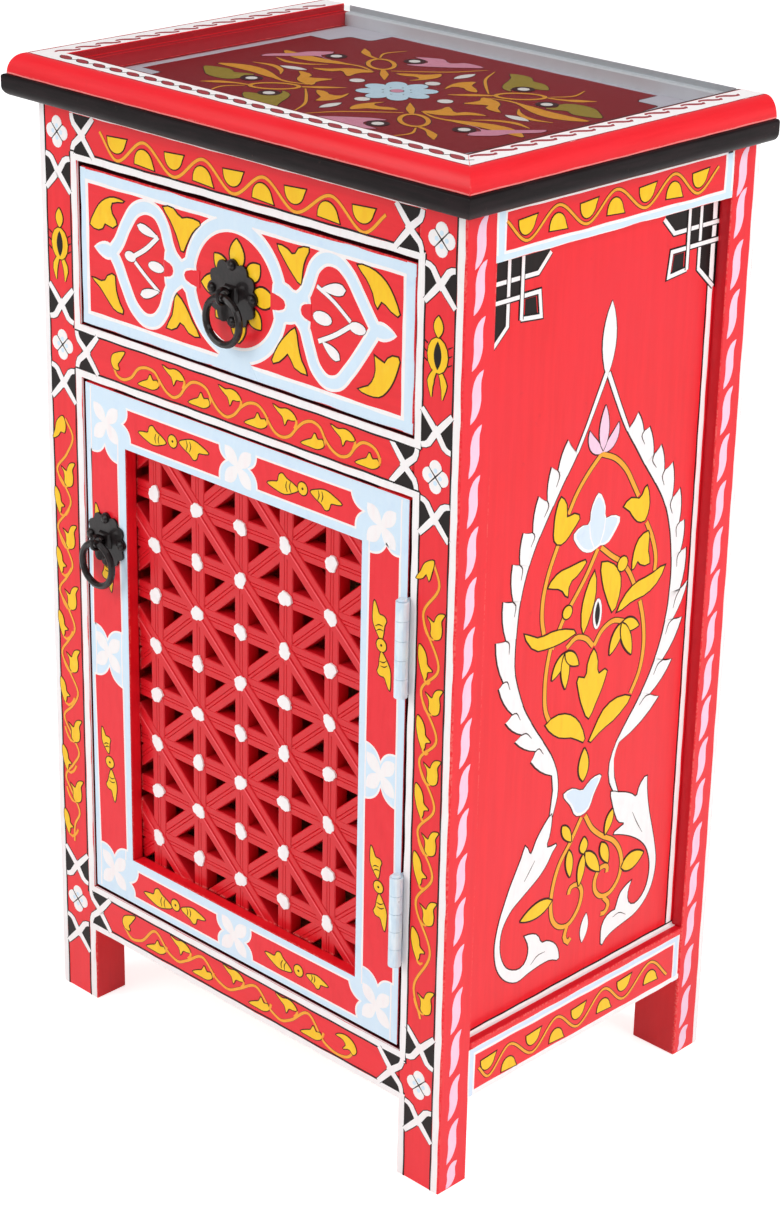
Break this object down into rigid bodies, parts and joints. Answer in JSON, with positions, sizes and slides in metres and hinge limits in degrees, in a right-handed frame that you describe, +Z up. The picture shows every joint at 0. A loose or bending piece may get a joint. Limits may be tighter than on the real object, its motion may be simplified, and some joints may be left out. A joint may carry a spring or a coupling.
{
  "type": "moroccan nightstand",
  "caption": "Tall painted wooden bedside cabinet with a drawer over a hinged lattice door, iron ring pulls, square posts and a moulded top with a glass pane.",
  "frame": {"origin": "on the floor, under the middle of the object's box", "axes": "+Z up, the drawer and door face -Y, +X to the right seen from the front"},
  "size_m": [0.381, 0.2656, 0.6353],
  "materials": {
    "red_paint": "glossy red brush paint on wood with hand-painted ornament",
    "black_paint": "glossy black brush paint on wood",
    "blue_paint": "light blue brush paint over steel hinge",
    "bare_wood": "unpainted softwood",
    "black_iron": "blackened wrought iron",
    "clear_glass": "clear float glass"
  },
  "bodies": {
    "carcass": {"post_front_left": "red_paint", "post_front_right": "red_paint", "post_rear_left": "red_paint", "post_rear_right": "red_paint", "rail_front_bottom": "red_paint", "rail_front_middle": "red_paint", "rail_front_top": "red_paint", "rail_left_bottom": "red_paint", "rail_left_top": "red_paint", "rail_right_bottom": "red_paint", "rail_right_top": "red_paint", "rail_rear_bottom": "red_paint", "rail_rear_top": "red_paint", "panel_left": "red_paint", "panel_right": "red_paint", "panel_back": "bare_wood", "cupboard_floor": "bare_wood", "dust_panel": "bare_wood", "drawer_runner_left": "bare_wood", "drawer_runner_right": "bare_wood", "drawer_guide_left": "bare_wood", "drawer_guide_right": "bare_wood", "door_stop": "bare_wood", "top_board": "black_paint", "rim_front": "red_paint", "rim_left": "red_paint", "rim_right": "red_paint", "glass_pane": "clear_glass", "hinge_upper_post_leaf": "blue_paint", "hinge_upper_pin": "blue_paint", "hinge_lower_post_leaf": "blue_paint", "hinge_lower_pin": "blue_paint"},
    "drawer": {"drawer_front": "red_paint", "drawer_side_left": "bare_wood", "drawer_side_right": "bare_wood", "drawer_back": "bare_wood", "drawer_bottom": "bare_wood", "drawer_pull_plate": "black_iron", "drawer_pull_nail_1": "black_iron", "drawer_pull_nail_2": "black_iron", "drawer_pull_nail_3": "black_iron", "drawer_pull_nail_4": "black_iron", "drawer_pull_staple": "black_iron"},
    "drawer_ring": {"drawer_pull_ring": "black_iron"},
    "door": {"door_stile_left": "red_paint", "door_stile_right": "red_paint", "door_rail_top": "red_paint", "door_rail_bottom": "red_paint", "door_lattice": "red_paint", "hinge_upper_door_leaf": "blue_paint", "hinge_lower_door_leaf": "blue_paint", "door_pull_plate": "black_iron", "door_pull_nail_1": "black_iron", "door_pull_nail_2": "black_iron", "door_pull_nail_3": "black_iron", "door_pull_nail_4": "black_iron", "door_pull_staple": "black_iron"},
    "door_ring": {"door_pull_ring": "black_iron"}
  },
  "joints": [
    {"name": "drawer_slide", "type": "slide", "parent": "carcass", "child": "drawer", "axis": [0, -1, 0], "range_m": [0, 0.16]},
    {"name": "door_hinge", "type": "hinge", "parent": "carcass", "child": "door", "pos_m": [0.139, -0.12175, 0.2625], "axis": [0, 0, 1], "range_deg": [0, 115]},
    {"name": "drawer_ring_swing", "type": "hinge", "parent": "drawer", "child": "drawer_ring", "pos_m": [-0.0045, -0.12535, 0.52455], "axis": [-1, 0, 0], "range_deg": [-6, 120]},
    {"name": "door_ring_swing", "type": "hinge", "parent": "door", "child": "door_ring", "pos_m": [-0.12075, -0.12535, 0.3393], "axis": [-1, 0, 0], "range_deg": [-6, 120]}
  ]
}
